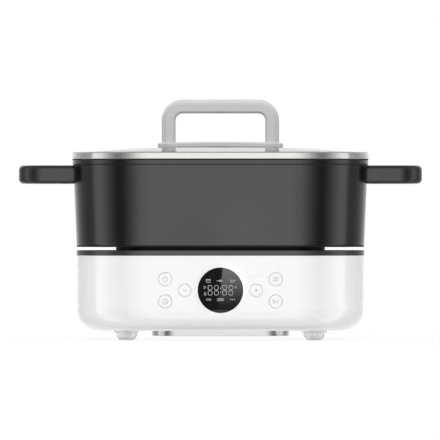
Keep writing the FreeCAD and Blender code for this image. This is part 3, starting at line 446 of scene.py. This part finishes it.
def make_foot_shade_band():
    # Near-black band painted along the pot's bottom edge: painted shade under the pot and a painted
    # reflection of the dark deck.
    shape = bmesh.new()
    inner = pot_foot_corner - foot_shade_bite
    outer = pot_foot_corner + foot_shade_reach
    low = pot_foot_bottom + foot_shade_gap
    top = pot_foot_bottom + foot_shade_height
    band(shape, [(inner, low), (outer - foot_shade_slope_out, low),
                 (outer, pot_foot_bottom + foot_shade_slope_up),
                 (outer + foot_shade_gap, top), (inner, top)])
    place_piece("pot_foot_painted_shade", shape, painted_shade_black, "pot")


def lathe(shape, profile, x, y, steps=48):
    """Turned solid on an upright axis from a profile of radius and height, closed at both ends."""
    turns = [math.tau * step / steps for step in range(steps)]
    rings = [[shape.verts.new((x + radius * math.cos(turn), y + radius * math.sin(turn), height))
              for turn in turns] for radius, height in profile]
    for ring, other in zip(rings, rings[1:]):
        quads_between(shape, ring, other)
    shape.faces.new(rings[0])
    shape.faces.new(rings[-1])


def foot_profile():
    bend = button_radius - button_flat
    turns = [math.pi / 2 * step / button_steps for step in range(button_steps + 1)]
    button = [(button_flat + bend * math.sin(turn),
               bend * (1 - math.cos(turn)) * button_height_share) for turn in turns]
    neck = [(button_radius + button_flare, collar_bottom - button_flare)]
    collar = [(collar_radius - collar_edge, collar_bottom),
              (collar_radius, collar_bottom + collar_edge),
              (collar_radius, foot_top - collar_edge),
              (collar_radius - collar_edge, foot_top)]
    stem = [(stem_radius, foot_top), (stem_radius, stem_top)]
    return button + neck + collar + stem


def make_feet():
    """Smooth silicone feet in place of the plainer solids."""
    for end, side_y in (("front", -1), ("rear", 1)):
        for side, side_x in (("left", -1), ("right", 1)):
            node = "foot_" + end + "_" + side
            shape = bmesh.new()
            lathe(shape, foot_profile(), side_x * foot_x, side_y * foot_y)
            piece = place_piece(node + "_silicone", shape, foot_silicone, "base")
            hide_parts(node)


def cross_recess_shade(shape, place, radius, down):
    """Painted shade of a screw head's cross recess, as a flat dark cross, looking down or to the
    back.
    """
    arm = radius * cross_arm_share
    half = radius * cross_half_share
    corners = [(arm, -half), (arm, half), (half, half), (half, arm), (-half, arm), (-half, half),
               (-arm, half), (-arm, -half), (-half, -half), (-half, -arm), (half, -arm),
               (half, -half)]
    x, y, z = place
    if down:
        spots = [(x + u, y + v, z - print_lift) for u, v in corners]
    else:
        spots = [(x + u, y + print_lift, z + v) for u, v in corners]
    shape.faces.new([shape.verts.new(spot) for spot in spots])


def make_screw_recess_shades():
    """Painted shade of the cross recesses, on both sides of the middle plane, in one row or in two
    from front to back.
    """
    groups = (("inlet_screw_recess_shade", "base", inlet_screw, m3_head, False, 1),
              ("cover_screw_recess_shade", "base", cover_screw, m3_head, True, 2),
              ("handle_screw_recess_shade", "pot", handle_screw, m4_head, True, 2),
              ("lid_screw_recess_shade", "lid", lid_screw, m5_head, True, 1))
    for name, body, (x, y, z), radius, down, rows in groups:
        shape = bmesh.new()
        row_places = (y,) if rows == 1 else (-y, y)
        for side_x in (-1, 1):
            for row_y in row_places:
                cross_recess_shade(shape, (side_x * x, row_y, z), radius, down)
        place_piece(name, shape, painted_shade_black, body, print_thickness)


# Print on the display and the keys

def arc(x, z, radius, start, end, steps=24):
    """Points of an arc in the front plane, in degrees from the right, anticlockwise."""
    turns = [math.radians(start + (end - start) * step / steps) for step in range(steps + 1)]
    return [(x + radius * math.cos(turn), z + radius * math.sin(turn)) for turn in turns]


def circle(x, z, radius, steps=24):
    return arc(x, z, radius, 0, 360, steps)[:-1]


def rounded_loop(x, z, half_x, half_z, corner, steps=4):
    """Closed rounded rectangle in the front plane."""
    points = []
    for side_x, side_z, start in ((1, 1, 0), (-1, 1, 90), (-1, -1, 180), (1, -1, 270)):
        centre_x = x + side_x * (half_x - corner)
        centre_z = z + side_z * (half_z - corner)
        points += arc(centre_x, centre_z, corner, start, start + 90, steps)
    return points


def line_edges(points, width, closed):
    """Left and right edge of a line of even width, at each of its points."""
    edges = []
    for index, point in enumerate(points):
        before = points[index - 1] if closed or index else None
        after = points[(index + 1) % len(points)] if closed or index + 1 < len(points) else None
        arriving = (after - point if before is None else point - before).normalized()
        leaving = arriving if after is None else (after - point).normalized()
        along = (arriving + leaving).normalized()
        across = Vector((-along.y, along.x))
        fit = across.dot(Vector((-leaving.y, leaving.x)))
        reach = width / 2 / max(mitre_limit, fit)
        edges.append((point + across * reach, point - across * reach))
    return edges


def on_panel(shape, spot):
    return shape.verts.new((spot.x, print_y, spot.y))


def round_end(shape, tip, inner, right, left, width):
    """Round end of an open line, from its right edge over the tip to its left edge."""
    aim = tip - inner
    middle = math.atan2(aim.y, aim.x)
    turns = [middle + math.pi / 2 * step / end_steps for step in range(1 - end_steps, end_steps)]
    rim = [on_panel(shape, tip + Vector((math.cos(turn), math.sin(turn))) * width / 2)
           for turn in turns]
    shape.faces.new([right, *rim, left])


def print_line(shape, points, width, closed=False):
    """Flat line through points of the front plane, with round ends where it is open."""
    points = [Vector(point) for point in points]
    rails = [[on_panel(shape, spot) for spot in pair] for pair in line_edges(points, width, closed)]
    for index in range(len(rails) if closed else len(rails) - 1):
        one = rails[index]
        other = rails[(index + 1) % len(rails)]
        shape.faces.new((one[0], other[0], other[1], one[1]))
    if not closed:
        round_end(shape, points[0], points[1], rails[0][0], rails[0][1], width)
        round_end(shape, points[-1], points[-2], rails[-1][1], rails[-1][0], width)


def draw(shape, drawing, x, z, width):
    """Print a drawing: open or closed lines, in millimetres from its centre."""
    for points, closed in drawing:
        placed = [(x + across * mm, z + up * mm) for across, up in points]
        print_line(shape, placed, width, closed)


def display_marks():
    """Marks beside the digits, from the display's centre: play, pause and a drop."""
    play = [([(-16.2, 4.2), (-16.2, 1.6), (-14.2, 2.9)], True)]
    pause = [([(across, 1.9), (across, 4.1)], False) for across in (14.4, 15.6)]
    drop = [(arc(-15.2, -4.0, 1.0, 140, 400, 10) + [(-15.2, -1.9)], True)]
    return play + pause + drop


def upper_pictures():
    """A pot, a leaf and a bowl, each from its own centre."""
    pot = [(rounded_loop(0, -0.3, 1.9, 1.1, 0.6), True),
           ([(-2.3, 1.5), (2.3, 1.5)], False)]
    leaf = [(arc(0, -1.6, 2.6, 40, 140, 10) + arc(0, 1.8, 2.6, 220, 320, 10), True),
            ([(-3.4, 0.1), (1.0, 0.1)], False)]
    bowl = [(arc(0, 0.6, 2.0, 180, 360, 12), False),
            ([(-2.4, 0.8), (2.4, 0.8)], False)]
    return pot, leaf, bowl


def lower_pictures():
    """A fish, noodles and dots, each from its own centre."""
    fish = [(arc(-0.4, -1.5, 2.3, 40, 140, 10) + arc(-0.4, 1.5, 2.3, 220, 320, 10), True),
            ([(2.6, 1.0), (1.5, 0), (2.6, -1.0)], False)]
    noodles = [([(0.4 * step, row + 0.3 * math.sin(step * math.pi / 3)) for step in range(-8, 9)],
                False) for row in (-1.1, 0, 1.1)]
    dots = [(circle(across, 0, 0.3, dot_steps), True) for across in (-1.8, 0, 1.8)]
    return fish, noodles, dots


def make_display_print():
    shape = bmesh.new()
    for x in digit_places:
        for side in (-1, 1):
            z = panel_z + side * loop_rise
            loop = rounded_loop(x, z, digit_half_x, loop_half_z, loop_corner)
            print_line(shape, loop, digit_line, closed=True)
    colon = [(circle(0, up, 0.25, dot_steps), True) for up in (-2, 2)]
    draw(shape, colon, 0, panel_z, colon_line)
    draw(shape, display_marks(), 0, panel_z, mark_line)
    for pictures, z in ((upper_pictures(), panel_z + picture_rise),
                        (lower_pictures(), panel_z - picture_rise)):
        for picture, x in zip(pictures, picture_places):
            draw(shape, picture, x, z, picture_line)
    place_piece("display_print", shape, print_light, "base", print_thickness)


def key_signs():
    """A plain sign for each key, from the key's centre."""
    minus = [([(-1.5, 0), (1.5, 0)], False)]
    return {
        "key_power": [(arc(0, 0, 2.3, 125, 415), False), ([(0, 0.6), (0, 3.1)], False)],
        "key_timer": [(circle(0, 0, 2.6), True), ([(0, 1.6), (0, 0), (1.2, -0.6)], False)],
        "key_mode": [([(-2.4, up), (2.4, up)], False) for up in (-1.6, 0, 1.6)],
        "key_start": [([(-2.4, 1.8), (-2.4, -1.8), (0.4, 0)], True),
                      ([(2.3, 1.7), (2.3, -1.7)], False)],
        "key_minus": minus,
        "key_plus": minus + [([(0, -1.5), (0, 1.5)], False)],
    }


def make_key_prints():
    """A ring and a plain sign on each key."""
    signs = key_signs()
    high = panel_z + side_key_rise
    low = panel_z - side_key_rise
    places = (("key_power", -side_key_x, high, side_key_radius),
              ("key_timer", -side_key_x, low, side_key_radius),
              ("key_mode", side_key_x, high, side_key_radius),
              ("key_start", side_key_x, low, side_key_radius),
              ("key_minus", -step_key_x, panel_z, step_key_radius),
              ("key_plus", step_key_x, panel_z, step_key_radius))
    for key, x, z, radius in places:
        ring = bmesh.new()
        print_line(ring, circle(x, z, radius - key_line, ring_steps), key_line, closed=True)
        place_piece(key + "_ring", ring, print_grey, key, print_thickness)
        sign = bmesh.new()
        draw(sign, signs[key], x, z, key_line)
        place_piece(key + "_sign", sign, print_dark, key, print_thickness)


make_lid_hem()
make_glass_join_shade()
make_rim_shadow_band()
make_foot_shade_band()
make_feet()
make_screw_recess_shades()
make_display_print()
make_key_prints()


# Surroundings

def soft_lamp(name, place, size, watts):
    """Large soft lamp that faces the middle of the object and shows in nothing."""
    data = bpy.data.lights.new(name, "AREA")
    data.shape = "RECTANGLE"
    data.size, data.size_y = size
    data.energy = watts
    lamp = bpy.data.objects.new(name, data)
    lamp.location = place
    towards = Vector((0, 0, aim_z)) - Vector(place)
    lamp.rotation_euler = towards.to_track_quat("-Z", "Y").to_euler()
    lamp.visible_camera = False
    lamp.visible_glossy = False
    lamp.visible_transmission = False
    bpy.context.scene.collection.objects.link(lamp)


def seen_directly(graph):
    """1 for rays from the camera or through glass."""
    path = add(graph, "ShaderNodeLightPath")
    return calculate(graph, "MAXIMUM", path.outputs["Is Camera Ray"],
                     path.outputs["Is Transmission Ray"])


def make_disc(name, material, radius, segments, turn):
    """Flat round piece of the stage."""
    disc = bmesh.new()
    bmesh.ops.create_circle(disc, cap_ends=True, segments=segments, radius=radius, matrix=turn)
    mesh = bpy.data.meshes.new(name)
    disc.to_mesh(mesh)
    disc.free()
    mesh.materials.append(material)
    piece = bpy.data.objects.new(name, mesh)
    bpy.context.scene.collection.objects.link(piece)
    return piece


def floor_material():
    """White where it is seen directly, with a trace of the object's shadow, and pale otherwise."""
    material, graph, shader = new_material("floor")
    shader.inputs["Base Color"].default_value = grey(0.9)
    shader.inputs["Roughness"].default_value = 0.8
    glow = add(graph, "ShaderNodeEmission")
    glow.inputs["Strength"].default_value = 1.0
    mix = add(graph, "ShaderNodeMixShader")
    share = calculate(graph, "MULTIPLY", seen_directly(graph), floor_glow_share)
    graph.links.new(share, mix.inputs["Fac"])
    graph.links.new(shader.outputs[0], mix.inputs[1])
    graph.links.new(glow.outputs[0], mix.inputs[2])
    output = next(node for node in graph.nodes if node.type == "OUTPUT_MATERIAL")
    graph.links.new(mix.outputs[0], output.inputs["Surface"])
    return material


def make_floor():
    floor = make_disc("floor", floor_material(), floor_radius, 96, Matrix.Identity(4))
    floor.visible_glossy = False


def brightness_round(graph, direction):
    """Brightness of the surround, the same to the left and the right."""
    side = calculate(graph, "ABSOLUTE", direction["X"])
    ahead = calculate(graph, "MULTIPLY", direction["Y"], -1.0)
    turn = calculate(graph, "ARCTAN2", side, ahead)
    ramp = add(graph, "ShaderNodeValToRGB")
    ramp.color_ramp.interpolation = "LINEAR"
    stops = ramp.color_ramp.elements
    while len(stops) < len(surround):
        stops.new(0.5)
    for stop, (degrees, level) in zip(stops, surround):
        stop.position = degrees / 180
        stop.color = grey(level)
    graph.links.new(calculate(graph, "DIVIDE", turn, math.pi), ramp.inputs["Fac"])
    return ramp.outputs["Color"]


def make_world():
    """Studio as a soft surround: pale in front, a dark gap, pale side panels, pale behind."""
    world = bpy.data.worlds.new("studio")
    bpy.context.scene.world = world
    world.use_nodes = True
    graph = world.node_tree
    direction = coordinates(graph, "Generated")
    around = brightness_round(graph, direction)
    overhead = spread(graph, direction["Z"], 0.0, 1.0, *overhead_heights, "SMOOTHSTEP")
    topped = blend(graph, overhead, around, grey(overhead_level))
    underneath = spread(graph, direction["Z"], 0.0, 1.0, *underneath_heights, "SMOOTHSTEP")
    reflected = blend(graph, underneath, topped, grey(underneath_level))
    colour = blend(graph, seen_directly(graph), reflected, grey(1.0))
    graph.links.new(colour, graph.nodes["Background"].inputs["Color"])


def card_material():
    """Glow that is dim on the left of a slanted edge, and grows upwards on the right of it."""
    material = bpy.data.materials.new("display_card")
    material.use_nodes = True
    graph = material.node_tree
    graph.nodes.clear()
    place = coordinates(graph, "Object")
    slant = calculate(graph, "MULTIPLY_ADD", place["Z"], -card_slant, card_shift)
    beyond = calculate(graph, "ADD", place["X"], slant)
    right = spread(graph, beyond, 0.0, 1.0, 0.0, card_edge)
    fade = spread(graph, place["Z"], card_low, card_high, card_fade_bottom, window_radius,
                  "SMOOTHSTEP")
    glow = add(graph, "ShaderNodeEmission")
    level = calculate(graph, "MULTIPLY_ADD", right, fade, card_dim)
    graph.links.new(level, glow.inputs["Strength"])
    output = add(graph, "ShaderNodeOutputMaterial")
    graph.links.new(glow.outputs[0], output.inputs["Surface"])
    return material


def make_display_card():
    """Half-lit card in front of the display, which shows only in its glass."""
    upright = Matrix.Rotation(math.pi / 2, 4, "X")
    card = make_disc("display_card", card_material(), card_radius, 64, upright)
    # on the line that the glass mirrors back to the camera
    drop = (aim_z - panel_z) * card_distance / camera_distance
    card.location = (0, front_y - card_distance, panel_z - drop)
    card.visible_camera = False
    card.visible_diffuse = False
    card.visible_transmission = False
    card.visible_shadow = False


def make_camera():
    data = bpy.data.cameras.new("camera")
    data.type = "PERSP"
    data.sensor_width = sensor_width
    data.lens = sensor_width * camera_distance / frame_width
    data.clip_start = 0.05
    data.clip_end = 60.0
    camera = bpy.data.objects.new("camera", data)
    camera.location = (aim_x, -camera_distance, aim_z)
    camera.rotation_euler = (math.pi / 2, 0, 0)
    bpy.context.scene.collection.objects.link(camera)
    bpy.context.scene.camera = camera


make_floor()
make_world()
make_display_card()
for name, place, size, watts in lamps:
    soft_lamp(name, place, size, watts)
make_camera()
bpy.context.scene.view_settings.view_transform = "Standard"
